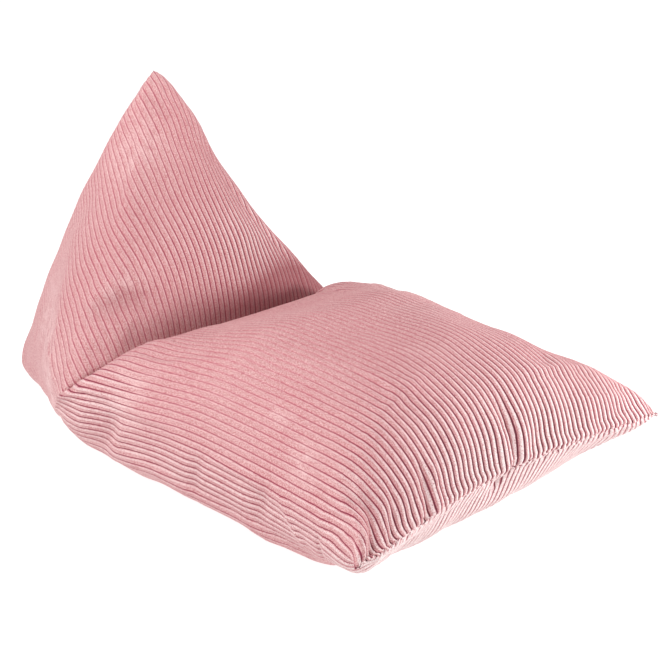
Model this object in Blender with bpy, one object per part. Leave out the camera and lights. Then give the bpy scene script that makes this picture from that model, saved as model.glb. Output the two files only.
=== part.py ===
"""Bean bag lounger: one tube of wide-wale corduroy, filled loosely.

The tube is sewn flat across its front end. Its back end is sewn flat too, but at
right angles to the front, so the cloth stands up into a peak there and the seat
lies low in front of it. Where the seat meets the back the cloth creases.

Metres, +Z up, the front towards -Y. The origin is the middle of the base.
"""

from collections import namedtuple

import bmesh
import bpy
import numpy as np

COLLECTION = "bean_bag_lounger"
NODE = "lounger"

# The cloth: the tube laid flat, its wales, and how far a crest stands over a groove.
TUBE_WIDTH = 0.60
WALES = 132
WALE_RELIEF = 0.0024
POINTS_PER_WALE = 2
SEAM_FADE = 0.030
FLOOR_FADE = 0.012

# Sections of the filled tube, each leaning from its base to its top. "along" is the
# share of the cloth's length from the front seam, "half" the half width, "widest" the
# share of the height at which it is widest, and "lean" how far that level lies behind
# the straight line from base to top. The last four are how square the section is,
# across and up, over and under that level: 2 is round.
Station = namedtuple(
    "Station",
    "along top_x top_y top_z base_x base_y base_z half widest lean over_x over_z under_x under_z",
)
STATIONS = [
    Station(0.00, 0.000, 0.000, 0.115, 0.000, 0.000, 0.115, 0.295, 0.45, 0.000, 1.5, 1.1, 1.5, 1.0),
    Station(0.03, 0.000, 0.005, 0.126, 0.000, 0.022, 0.092, 0.297, 0.49, 0.000, 1.5, 1.5, 1.3, 1.0),
    Station(0.08, 0.000, 0.032, 0.168, 0.000, 0.054, 0.062, 0.284, 0.50, 0.000, 1.8, 2.2, 1.9, 1.8),
    Station(0.16, 0.000, 0.090, 0.216, 0.000, 0.112, 0.029, 0.259, 0.46, 0.000, 2.5, 1.9, 3.3, 2.7),
    Station(0.28, 0.000, 0.186, 0.244, 0.000, 0.190, -0.004, 0.240, 0.48, 0.000, 2.8, 1.4, 3.8, 2.8),
    Station(0.42, 0.000, 0.325, 0.247, 0.000, 0.357, -0.009, 0.234, 0.47, 0.000, 3.7, 1.4, 3.7, 2.9),
    Station(0.54, 0.000, 0.455, 0.214, 0.000, 0.508, -0.010, 0.238, 0.50, 0.000, 4.3, 2.3, 3.2, 2.8),
    Station(0.58, -0.002, 0.524, 0.183, -0.002, 0.600, -0.006, 0.249, 0.58, 0.015, 4.6, 3.2, 2.5, 2.2),
    Station(0.60, -0.008, 0.546, 0.140, -0.016, 0.662, -0.003, 0.253, 0.88, 0.037, 4.0, 3.0, 2.0, 1.4),
    Station(0.62, -0.006, 0.549, 0.176, -0.032, 0.715, -0.002, 0.245, 0.72, 0.006, 3.2, 2.6, 2.0, 1.4),
    Station(0.70, 0.000, 0.575, 0.272, -0.046, 0.793, -0.002, 0.205, 0.62, 0.000, 2.4, 2.0, 2.5, 1.2),
    Station(0.80, 0.004, 0.624, 0.360, -0.051, 0.882, -0.002, 0.148, 0.64, 0.000, 2.4, 1.7, 2.7, 1.1),
    Station(0.90, 0.008, 0.670, 0.445, -0.046, 0.958, 0.000, 0.095, 0.65, 0.000, 2.4, 1.8, 3.4, 1.2),
    Station(0.96, 0.010, 0.699, 0.492, -0.042, 1.003, 0.000, 0.052, 0.65, 0.000, 2.3, 1.9, 3.4, 1.4),
    Station(1.00, 0.012, 0.714, 0.506, -0.040, 1.030, 0.000, 0.000, 0.65, 0.000, 1.8, 2.0, 1.5, 1.8),
]
HALF_STEPS = 200

# The filling draws the front seam's middle back, and its two corners are moved a
# little. Both fade out over FRONT_REACH of the cloth, and the corners across it too.
FRONT_REACH = 0.10
FRONT_FALL = 1.5
FRONT_DRAW = 0.047
CORNER_FALL = 3.0
LEFT_CORNER = (-0.003, 0.004, 0.004)
RIGHT_CORNER = (-0.002, 0.030, -0.011)

# The tip of the left corner is tucked in, and the bag is fuller just under it. Each
# moves the cloth by (x, y, z) within its reach of a place. A place is (side, along):
# side is 0 at the top middle, -0.5 and 0.5 at the left and right edges, and 1 at the
# base middle.
CLOTH_LENGTH = 1.05
Nudge = namedtuple("Nudge", "side along reach x y z")
CORNER_NUDGES = [
    Nudge(-0.500, 0.000, 0.035, 0.015, 0.010, 0.006),
    Nudge(-0.575, 0.075, 0.055, -0.008, -0.004, -0.009),
]

# The main folds, as straight troughs in the flat cloth from one (side, along) to
# another. Widths and depths are in metres, and a negative depth is a ridge.
Fold = namedtuple("Fold", "side along to_side to_along width depth")
FOLDS = [
    # Down the middle of the front, and under its seam.
    Fold(0.000, 0.120, 0.015, 0.000, 0.012, 0.008),
    Fold(-0.030, 0.100, -0.015, 0.010, 0.012, -0.004),
    Fold(0.990, 0.000, 1.030, 0.035, 0.010, 0.006),
    # Towards the front left corner.
    Fold(-0.255, 0.095, -0.285, 0.010, 0.012, 0.005),
    Fold(-0.335, 0.100, -0.395, 0.040, 0.012, 0.005),
    Fold(-0.430, 0.110, -0.485, 0.040, 0.014, -0.005),
    # The ends of the crease, and the seat's corners that swell beside it.
    Fold(-0.240, 0.604, -0.430, 0.606, 0.012, 0.010),
    Fold(-0.300, 0.580, -0.430, 0.602, 0.013, -0.006),
    Fold(0.280, 0.604, 0.460, 0.606, 0.014, 0.006),
    Fold(0.165, 0.580, 0.300, 0.560, 0.020, -0.013),
    # The sag of the seat's right side, and the dent low on the back.
    Fold(0.280, 0.080, 0.280, 0.360, 0.055, 0.004),
    Fold(-0.340, 0.705, -0.190, 0.675, 0.030, 0.007),
    Fold(-0.330, 0.745, -0.180, 0.715, 0.025, -0.003),
]

# Bands of faces along the cloth, closer together where it turns.
Span = namedtuple("Span", "start end bands")
SPANS = [
    Span(0.00, 0.10, 5),
    Span(0.10, 0.50, 6),
    Span(0.50, 0.58, 2),
    Span(0.58, 0.64, 3),
    Span(0.64, 1.00, 6),
]

CLOTH_COLOUR = (0.62, 0.26, 0.30, 1.0)
CLOTH_ROUGHNESS = 0.9
WELD = 0.00002


def clear_scene():
    for thing in list(bpy.data.objects):
        bpy.data.objects.remove(thing, do_unlink=True)


def smooth_step(share):
    share = np.clip(share, 0.0, 1.0)
    return share * share * (3.0 - 2.0 * share)


def smooth_curve(x, y, at):
    """Read a smooth curve through the points (x, y) that never overshoots them."""
    gap = np.diff(x)
    slope = np.diff(y) / gap
    tangent = np.zeros(len(x))
    tangent[0] = slope[0]
    tangent[-1] = slope[-1]
    for i in range(1, len(x) - 1):
        if slope[i - 1] * slope[i] > 0.0:
            before = 2.0 * gap[i] + gap[i - 1]
            after = gap[i] + 2.0 * gap[i - 1]
            tangent[i] = (before + after) / (before / slope[i - 1] + after / slope[i])
    i = np.clip(np.searchsorted(x, at, side="right") - 1, 0, len(gap) - 1)
    t = (at - x[i]) / gap[i]
    rise = y[i + 1] - y[i]
    start = gap[i] * tangent[i]
    end = gap[i] * tangent[i + 1]
    return y[i] + t * (start + t * (3.0 * rise - 2.0 * start - end + t * (start + end - 2.0 * rise)))


def station_at(along):
    """The section's sizes anywhere along the cloth."""
    table = np.array(STATIONS)
    places = table[:, 0]
    columns = [smooth_curve(places, table[:, i], along) for i in range(1, table.shape[1])]
    return Station(along, *columns)


def half_section(station):
    """The section's left half, from top middle to base middle, and its sway in x."""
    turn = np.linspace(0.0, np.pi / 2.0, HALF_STEPS)
    sine = np.sin(turn)
    cosine = np.cos(turn)
    over_out = sine ** (2.0 / station.over_x)
    over_share = station.widest + (1.0 - station.widest) * cosine ** (2.0 / station.over_z)
    under_out = cosine ** (2.0 / station.under_x)
    under_share = station.widest * (1.0 - sine ** (2.0 / station.under_z))
    out = np.concatenate([over_out, under_out[1:]])
    share = np.concatenate([over_share, under_share[1:]])
    sway = station.base_x + share * (station.top_x - station.base_x)
    y = station.base_y + share * (station.top_y - station.base_y)
    over = (share - station.widest) / (1.0 - station.widest)
    under = 1.0 - share / station.widest
    y += station.lean * (1.0 - np.maximum(over, under) ** 2)
    z = station.base_z + share * (station.top_z - station.base_z)
    return np.stack([-station.half * out, y, np.maximum(z, 0.0)], axis=1), sway


def ring(along, around):
    """One closed section as evenly spaced points, from the top middle to the left."""
    half, sway = half_section(station_at(along))
    steps = np.linalg.norm(np.diff(half, axis=0), axis=1)
    travelled = np.concatenate([[0.0], np.cumsum(steps)])
    even = np.linspace(0.0, travelled[-1], around // 2 + 1)
    left = np.stack([np.interp(even, travelled, half[:, axis]) for axis in range(3)], axis=1)
    right = left * np.array([-1.0, 1.0, 1.0])
    swayed = np.interp(even, travelled, sway)
    left[:, 0] += swayed
    right[:, 0] += swayed
    return np.concatenate([left, right[1:-1][::-1]])


def tube(places, around):
    """The whole filled tube, ring after ring, with its front corners reaching out."""
    points = np.array([ring(along, around) for along in places])
    across = np.clip(points[:, :, 0] / (TUBE_WIDTH / 2.0), -1.0, 1.0)
    near_front = np.exp(-((places / FRONT_REACH) ** FRONT_FALL))[:, None]
    left = np.clip(-across, 0.0, 1.0) ** CORNER_FALL * near_front
    right = np.clip(across, 0.0, 1.0) ** CORNER_FALL * near_front
    points += left[:, :, None] * np.array(LEFT_CORNER)
    points += right[:, :, None] * np.array(RIGHT_CORNER)
    points[:, :, 1] += FRONT_DRAW * (1.0 - across**2) * near_front
    return points


def side_places(around):
    """Each column's side, which runs from 0 by the left, negative, round to 1."""
    return (1.0 - 2.0 * np.arange(around) / around) % 2.0 - 1.0


def nudge_corners(points, places):
    """Tuck in the tip of the corner and fill out the cloth under it."""
    sides = side_places(points.shape[1])
    for nudge in CORNER_NUDGES:
        across = (sides - nudge.side) * TUBE_WIDTH / nudge.reach
        along = (places - nudge.along) * CLOTH_LENGTH / nudge.reach
        near = np.exp(-(across[None, :] ** 2 + along[:, None] ** 2))
        points += near[:, :, None] * np.array([nudge.x, nudge.y, nudge.z])
    return points


def sew_front(points):
    """Bring the top and the underside together in the front seam."""
    around = points.shape[1]
    facing = (around // 2 - np.arange(around)) % around
    points[0] = (points[0] + points[0, facing]) / 2.0
    return points


def outward(points):
    """Unit normals of the tube's points, pointing out of it."""
    around = np.roll(points, -1, axis=1) - np.roll(points, 1, axis=1)
    along = np.gradient(points, axis=0)
    normals = np.cross(along, around)
    length = np.linalg.norm(normals, axis=2, keepdims=True)
    return normals / np.maximum(length, 1e-9)


def fold_depth(sides, places):
    """How far the folds press the cloth in at each point, from its place in the cloth."""
    along = places[:, None] * CLOTH_LENGTH
    depth = np.zeros((len(places), len(sides)))
    for fold in FOLDS:
        start = np.array([fold.side * TUBE_WIDTH, fold.along * CLOTH_LENGTH])
        run = np.array([fold.to_side * TUBE_WIDTH, fold.to_along * CLOTH_LENGTH]) - start
        length = np.linalg.norm(run)
        middle = (fold.side + fold.to_side) / 2.0
        near_sides = middle + (sides - middle + 1.0) % 2.0 - 1.0
        from_start = near_sides[None, :] * TUBE_WIDTH - start[0]
        up_start = along - start[1]
        down = (from_start * run[0] + up_start * run[1]) / length
        beside = (from_start * run[1] - up_start * run[0]) / length
        past = np.maximum(np.maximum(-down, down - length), 0.0)
        depth += fold.depth * np.exp(-(beside**2 + past**2) / fold.width**2)
    return depth


def press_folds(points, places):
    """Push the cloth in along its folds, but not in its seams or where it lies flat."""
    sides = side_places(points.shape[1])
    fade = smooth_step(places / SEAM_FADE)[:, None] * smooth_step(points[:, :, 2] / FLOOR_FADE)
    pressed = points - outward(points) * (fold_depth(sides, places) * fade)[:, :, None]
    pressed[:, :, 2] = np.maximum(pressed[:, :, 2], 0.0)
    return pressed


def raise_wales(points, places):
    """Crests and grooves in turn round the tube, none in the seams or under it."""
    phase = np.arange(points.shape[1]) % POINTS_PER_WALE
    ridge = np.where(phase == 0, -0.5, 0.5) * WALE_RELIEF
    from_seam = np.minimum(places, 1.0 - places)
    fade = smooth_step(from_seam / SEAM_FADE)[:, None] * smooth_step(points[:, :, 2] / FLOOR_FADE)
    raised = points + outward(points) * (ridge[None, :] * fade)[:, :, None]
    raised[:, :, 2] = np.maximum(raised[:, :, 2], 0.0)
    return raised


def band_places():
    places = [0.0]
    for span in SPANS:
        places.extend(np.linspace(span.start, span.end, span.bands + 1)[1:])
    return np.array(places)


def centred(points):
    """Move the points so that the origin is the middle of the box's base."""
    flat = points.reshape(-1, 3)
    middle = (flat.min(axis=0) + flat.max(axis=0)) / 2.0
    return points - np.array([middle[0], middle[1], 0.0])


def cloth_material():
    material = bpy.data.materials.new("corduroy")
    material.use_nodes = True
    surface = material.node_tree.nodes["Principled BSDF"]
    surface.inputs["Base Color"].default_value = CLOTH_COLOUR
    surface.inputs["Roughness"].default_value = CLOTH_ROUGHNESS
    surface.inputs["Metallic"].default_value = 0.0
    return material


def build_lounger(collection):
    """Roll a flat grid into the tube, then weld its join and its two end seams."""
    around = WALES * POINTS_PER_WALE
    places = band_places()
    points = sew_front(nudge_corners(tube(places, around), places))
    points = press_folds(points, places)
    points = centred(raise_wales(points, places))
    shape = bmesh.new()
    bmesh.ops.create_grid(shape, x_segments=around, y_segments=len(places) - 1, size=0.5)
    for corner in shape.verts:
        column = round((corner.co.x + 0.5) * around) % around
        row = round((corner.co.y + 0.5) * (len(places) - 1))
        corner.co = points[row, column]
    bmesh.ops.remove_doubles(shape, verts=shape.verts, dist=WELD)
    bmesh.ops.triangulate(shape, faces=shape.faces)
    bmesh.ops.recalc_face_normals(shape, faces=shape.faces)
    mesh = bpy.data.meshes.new(NODE)
    shape.to_mesh(mesh)
    shape.free()
    mesh.materials.append(cloth_material())
    lounger = bpy.data.objects.new(NODE, mesh)
    collection.objects.link(lounger)
    return lounger


def main():
    clear_scene()
    collection = bpy.data.collections.new(COLLECTION)
    bpy.context.scene.collection.children.link(collection)
    build_lounger(collection)


main()
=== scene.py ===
# %% [markdown]
# # A corduroy lounger filled with beads
# The real thing is one tube of wide-wale corduroy. It is sewn flat across the front
# and sewn flat the other way, up and down, at the back, so it stands up in a peak
# behind a low seat. This script rolls the cloth, fills it, creases it and gives it a
# pile. It works in metres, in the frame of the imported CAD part, with +Z up and the
# front towards -Y.

# %% Load the frame and read its size
import math
from collections import namedtuple

import bmesh
import bpy
import numpy as np
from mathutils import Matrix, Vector


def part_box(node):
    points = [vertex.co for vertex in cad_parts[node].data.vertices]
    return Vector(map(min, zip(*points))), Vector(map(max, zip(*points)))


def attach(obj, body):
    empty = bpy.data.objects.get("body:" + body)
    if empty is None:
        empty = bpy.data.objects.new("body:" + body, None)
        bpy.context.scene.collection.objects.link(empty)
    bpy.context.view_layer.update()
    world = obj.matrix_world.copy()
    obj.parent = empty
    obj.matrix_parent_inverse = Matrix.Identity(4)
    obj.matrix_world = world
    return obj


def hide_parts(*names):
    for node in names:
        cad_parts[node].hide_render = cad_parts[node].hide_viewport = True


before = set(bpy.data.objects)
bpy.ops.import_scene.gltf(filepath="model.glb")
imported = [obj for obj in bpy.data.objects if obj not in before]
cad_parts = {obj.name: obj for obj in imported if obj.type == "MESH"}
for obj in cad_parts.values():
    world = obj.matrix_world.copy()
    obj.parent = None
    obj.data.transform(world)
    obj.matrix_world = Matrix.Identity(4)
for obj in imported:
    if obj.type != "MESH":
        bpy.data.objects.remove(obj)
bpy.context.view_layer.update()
low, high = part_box("lounger")
print("CAD box", [round(high[axis] - low[axis], 3) for axis in range(3)])

# %% [markdown]
# ## The camera
# The view comes first, because it says which sides need the most work. The lounger
# is seen from its front left corner and a little above, with a short telephoto. The
# angles, the distance and the point looked at were fitted to the seams and corners.

# %% Place the camera
AZIMUTH = math.radians(-45.1)
ELEVATION = math.radians(20.4)
DISTANCE = 1.974
TARGET = Vector((0.055, -0.122, 0.182))
LENS = 78.8
SENSOR = 36.0


def direction(azimuth, elevation):
    """The unit vector that points from the lounger towards a viewer or a light."""
    level = math.cos(elevation)
    return Vector((math.sin(azimuth) * level, -math.cos(azimuth) * level, math.sin(elevation)))


def link(thing):
    bpy.context.scene.collection.objects.link(thing)
    return thing


def aim(thing, place, target):
    thing.location = place
    thing.rotation_euler = (place - target).to_track_quat("Z", "Y").to_euler()


camera_data = bpy.data.cameras.new("camera")
camera_data.lens = LENS
camera_data.sensor_width = SENSOR
camera_data.sensor_fit = "HORIZONTAL"
camera = link(bpy.data.objects.new("camera", camera_data))
aim(camera, TARGET + direction(AZIMUTH, ELEVATION) * DISTANCE, TARGET)
bpy.context.scene.camera = camera
print("camera at", [round(value, 3) for value in camera.location])

# %% [markdown]
# ## The filled tube
# A filled bag is easiest to describe as slices through the tube. Each row below is
# one slice: the places of its top and its base, how wide it is, how high up it is
# widest, how far that level leans back, and how square its upper and lower parts are.
# A smooth curve through the rows gives any slice between them. Sculpting would do
# too, but a number can be corrected on its own. The rows are the CAD solid's, a little
# closer to the photograph high on the back, so that the cloth lies where the solid is.

# %% The slices, from the front seam to the back seam
TUBE_WIDTH = 0.60
CLOTH_LENGTH = 1.05
WALES = 132
Station = namedtuple(
    "Station",
    "along top_x top_y top_z base_x base_y base_z half widest lean over_x over_z under_x under_z",
)
STATION_ROWS = [
    (0.00, 0.000, 0.000, 0.115, 0.000, 0.000, 0.115, 0.295, 0.45, 0.000, 1.5, 1.1, 1.5, 1.0),
    (0.03, 0.000, 0.005, 0.126, 0.000, 0.022, 0.092, 0.297, 0.49, 0.000, 1.5, 1.5, 1.3, 1.0),
    (0.08, 0.000, 0.032, 0.168, 0.000, 0.054, 0.062, 0.284, 0.50, 0.000, 1.8, 2.2, 1.9, 1.8),
    (0.16, 0.000, 0.090, 0.216, 0.000, 0.112, 0.029, 0.259, 0.46, 0.000, 2.5, 1.9, 3.3, 2.7),
    (0.28, 0.000, 0.186, 0.244, 0.000, 0.190, -0.004, 0.240, 0.48, 0.000, 2.8, 1.4, 3.8, 2.8),
    (0.42, 0.000, 0.325, 0.247, 0.000, 0.357, -0.009, 0.234, 0.47, 0.000, 3.7, 1.4, 3.7, 2.9),
    (0.54, 0.000, 0.455, 0.214, 0.000, 0.508, -0.010, 0.238, 0.50, 0.000, 4.3, 2.3, 3.2, 2.8),
    (0.58, -0.002, 0.524, 0.183, -0.002, 0.600, -0.006, 0.249, 0.58, 0.015, 4.6, 3.2, 2.5, 2.2),
    (0.60, -0.008, 0.546, 0.140, -0.016, 0.662, -0.003, 0.253, 0.88, 0.037, 4.0, 3.0, 2.0, 1.4),
    (0.62, -0.006, 0.549, 0.176, -0.032, 0.715, -0.002, 0.245, 0.72, 0.006, 3.2, 2.6, 2.0, 1.4),
    (0.70, 0.000, 0.575, 0.272, -0.046, 0.793, -0.002, 0.205, 0.62, 0.000, 2.4, 2.0, 2.5, 1.2),
    (0.80, 0.006, 0.624, 0.360, -0.051, 0.882, -0.002, 0.147, 0.64, 0.000, 2.4, 1.7, 2.7, 1.1),
    (0.90, 0.014, 0.668, 0.445, -0.046, 0.958, 0.000, 0.089, 0.65, 0.000, 2.4, 1.8, 3.4, 1.2),
    (0.96, 0.008, 0.698, 0.494, -0.041, 1.003, 0.000, 0.049, 0.65, 0.000, 2.7, 2.1, 3.4, 1.4),
    (1.00, 0.010, 0.714, 0.506, -0.040, 1.030, 0.000, 0.000, 0.65, 0.000, 4.0, 3.4, 1.5, 1.8),
]
STATIONS = [Station(*row) for row in STATION_ROWS]
print(len(STATIONS), "slices over", CLOTH_LENGTH, "m of cloth")


# %% Read a smooth curve through a few rows
def smooth_curve(x, y, at):
    """A curve through the points (x, y) that never overshoots them, read at each at."""
    gap = np.diff(x)
    slope = np.diff(y) / gap
    tangent = np.zeros(len(x))
    tangent[0] = slope[0]
    tangent[-1] = slope[-1]
    for i in range(1, len(x) - 1):
        if slope[i - 1] * slope[i] > 0.0:
            before = 2.0 * gap[i] + gap[i - 1]
            after = gap[i] + 2.0 * gap[i - 1]
            tangent[i] = (before + after) / (before / slope[i - 1] + after / slope[i])
    i = np.clip(np.searchsorted(x, at, side="right") - 1, 0, len(gap) - 1)
    t = (at - x[i]) / gap[i]
    rise = y[i + 1] - y[i]
    start = gap[i] * tangent[i]
    end = gap[i] * tangent[i + 1]
    bend = start + end - 2.0 * rise
    return y[i] + t * (start + t * (3.0 * rise - 2.0 * start - end + t * bend))


def station_at(along):
    """The slice at one share of the cloth's length."""
    table = np.array(STATIONS)
    columns = [smooth_curve(table[:, 0], column, along) for column in table.T[1:]]
    return Station(along, *columns)


def smooth_step(share):
    """A share from 0 to 1 that starts and ends gently."""
    share = np.clip(share, 0.0, 1.0)
    return share * share * (3.0 - 2.0 * share)


print("seat crown", round(float(station_at(0.40).top_z), 3), "m high")

# %% [markdown]
# ## One slice
# A superellipse is a circle that can be made squarer or more pointed with one number.
# The upper and the lower part of each slice are quarters of two of them. The points
# are then spread evenly along the slice, because the cloth's girth is the same
# everywhere and its wales are evenly spaced in it.

# %% Turn a slice's sizes into points
HALF_STEPS = 200


def half_section(station):
    """The section's left half, from top middle to base middle, and its sway in x."""
    turn = np.linspace(0.0, np.pi / 2.0, HALF_STEPS)
    sine = np.sin(turn)
    cosine = np.cos(turn)
    over_out = sine ** (2.0 / station.over_x)
    over_share = station.widest + (1.0 - station.widest) * cosine ** (2.0 / station.over_z)
    under_out = cosine ** (2.0 / station.under_x)
    under_share = station.widest * (1.0 - sine ** (2.0 / station.under_z))
    out = np.concatenate([over_out, under_out[1:]])
    share = np.concatenate([over_share, under_share[1:]])
    sway = station.base_x + share * (station.top_x - station.base_x)
    y = station.base_y + share * (station.top_y - station.base_y)
    over = (share - station.widest) / (1.0 - station.widest)
    under = 1.0 - share / station.widest
    y += station.lean * (1.0 - np.maximum(over, under) ** 2)
    z = station.base_z + share * (station.top_z - station.base_z)
    return np.stack([-station.half * out, y, np.maximum(z, 0.0)], axis=1), sway


def ring(along, turns):
    """Points of one section. A turn runs from 0, the top middle, by the left to 1."""
    half, sway = half_section(station_at(along))
    steps = np.linalg.norm(np.diff(half, axis=0), axis=1)
    travelled = np.concatenate([[0.0], np.cumsum(steps)])
    from_top = 2.0 * np.minimum(turns, 1.0 - turns) * travelled[-1]
    points = np.stack([np.interp(from_top, travelled, half[:, axis]) for axis in range(3)], axis=1)
    points[:, 0] *= np.where(turns > 0.5, -1.0, 1.0)
    points[:, 0] += np.interp(from_top, travelled, sway)
    return points


print("half a slice has", 2 * HALF_STEPS - 1, "points")

# %% [markdown]
# ## Corners and twist
# A pillow's seam isn't straight once the bag is filled: the filling draws its middle
# back and leaves the corners out in front. The left and right corners differ a
# little, as they do on any sewn thing. Each tuck below pushes the cloth near one spot
# by a few millimetres, where a corner was folded in or filled out, and the push fades
# away over its reach. The tube was sewn up three wales askew at the back, so the wales
# creep round it on their way from the crease to the peak.

# %% How the corners and the back were sewn
# FRONT_REACH and the twist's start and end are shares of the cloth's length. The draw,
# the corners' moves in x, y and z, and the tucks' reaches and moves are in metres.
FRONT_REACH = 0.10
FRONT_FALL = 1.5
FRONT_DRAW = 0.047
CORNER_FALL = 3.0
LEFT_CORNER = (-0.003, 0.004, 0.004)
RIGHT_CORNER = (-0.002, 0.030, -0.011)
TWIST_WALES = 3
TWIST_START = 0.58
TWIST_END = 0.92
Tuck = namedtuple("Tuck", "side along reach x y z")
TUCKS = [
    # The left tip of the front seam, and the side and the underside behind it.
    Tuck(-0.500, 0.000, 0.026, 0.016, 0.012, 0.000),
    Tuck(-0.500, 0.090, 0.055, 0.005, -0.012, 0.008),
    Tuck(-0.600, 0.085, 0.055, -0.013, -0.003, -0.014),
    # The right tip, and the underside behind it.
    Tuck(0.500, 0.000, 0.012, -0.006, 0.004, 0.000),
    Tuck(0.600, 0.040, 0.050, 0.002, -0.003, -0.008),
]
print(len(TUCKS), "tucks and a twist of", TWIST_WALES, "wales")


# %% Find and move places in the cloth
def side_of(turns):
    """A place round the tube: 0 at the top, -0.5 and 0.5 at the edges, 1 at the base."""
    return np.where(turns > 0.5, 2.0 - 2.0 * turns, -2.0 * turns)


def twisted(places, turns):
    """Where each wale has got to, round the tube, in each slice."""
    share = smooth_step((places - TWIST_START) / (TWIST_END - TWIST_START))
    return (turns[None, :] + TWIST_WALES / WALES * share[:, None]) % 1.0


def tuck_corners(points, places, turns):
    """Move the tips of corners that the sewer folded in or filled out."""
    sides = side_of(turns)
    for tuck in TUCKS:
        across = (sides - tuck.side) * TUBE_WIDTH / tuck.reach
        along = (places - tuck.along) * CLOTH_LENGTH / tuck.reach
        near = np.exp(-(across[None, :] ** 2 + along[:, None] ** 2))
        points += near[:, :, None] * np.array([tuck.x, tuck.y, tuck.z])
    return points


def sew_front(points):
    """Bring the top and the underside together in the front seam."""
    columns = points.shape[1]
    facing = (columns // 2 - np.arange(columns)) % columns
    points[0] = (points[0] + points[0, facing]) / 2.0
    return points


print("a quarter turn is side", float(side_of(0.25)))


# %% Stack the slices into a tube
def tube(places, turns):
    """Points in a row for each place along the cloth and a column for each turn."""
    slices = zip(places, twisted(places, turns))
    points = np.array([ring(along, wale_turns) for along, wale_turns in slices])
    across = np.clip(points[:, :, 0] / (TUBE_WIDTH / 2.0), -1.0, 1.0)
    near_front = np.exp(-((places / FRONT_REACH) ** FRONT_FALL))[:, None]
    left = np.clip(-across, 0.0, 1.0) ** CORNER_FALL * near_front
    right = np.clip(across, 0.0, 1.0) ** CORNER_FALL * near_front
    points += left[:, :, None] * np.array(LEFT_CORNER)
    points += right[:, :, None] * np.array(RIGHT_CORNER)
    points[:, :, 1] += FRONT_DRAW * (1.0 - across**2) * near_front
    return sew_front(tuck_corners(points, places, turns))


def outward(points):
    """Unit normals of the tube's points, pointing out of it."""
    around = np.roll(points, -1, axis=1) - np.roll(points, 1, axis=1)
    along = np.gradient(points, axis=0)
    normals = np.cross(along, around)
    length = np.linalg.norm(normals, axis=2, keepdims=True)
    return normals / np.maximum(length, 1e-9)


print("the front seam is drawn back", FRONT_DRAW, "m in its middle")

# %% [markdown]
# ## How fine the cloth is
# There are 132 wales round the tube, about 9 mm apart. Four points across a wale
# give it a narrow groove and a rounded rib. Along the cloth the rows lie closer
# where it turns: at the front seam, in the crease and at the back seam.

# %% Choose the rows and columns of the grid
WALE_PHASES = (0.0, 0.15, 0.5, 0.85)
WALE_HEIGHTS = (-1.0, 0.45, 1.0, 0.45)
Span = namedtuple("Span", "start end rows")
SPANS = [
    Span(0.00, 0.02, 10),
    Span(0.02, 0.13, 28),
    Span(0.13, 0.52, 56),
    Span(0.52, 0.66, 40),
    Span(0.66, 0.95, 43),
    Span(0.95, 1.00, 11),
]
places = np.concatenate([[0.0]] + [np.linspace(s.start, s.end, s.rows + 1)[1:] for s in SPANS])
turns = np.array([(wale + phase) / WALES for wale in range(WALES) for phase in WALE_PHASES])
heights = np.tile(WALE_HEIGHTS, WALES)
sides = side_of(twisted(places, turns))
points = tube(places, turns)
print(len(turns), "columns,", len(places), "rows")

# %% [markdown]
# ## Folds
# Where there is more cloth than the filling needs, it creases. Each fold below is a
# soft trough, or a ridge where its depth is negative, along a curve through three
# points of the cloth. A point is (side, along): side is 0 at the top middle, -0.5
# and 0.5 at the left and right edges and 1 at the base middle, and along runs from
# the front seam, 0, to the back seam, 1. Widths and depths are in millimetres. A
# crease brush could draw them as well, but a table can be read and put right.

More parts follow.
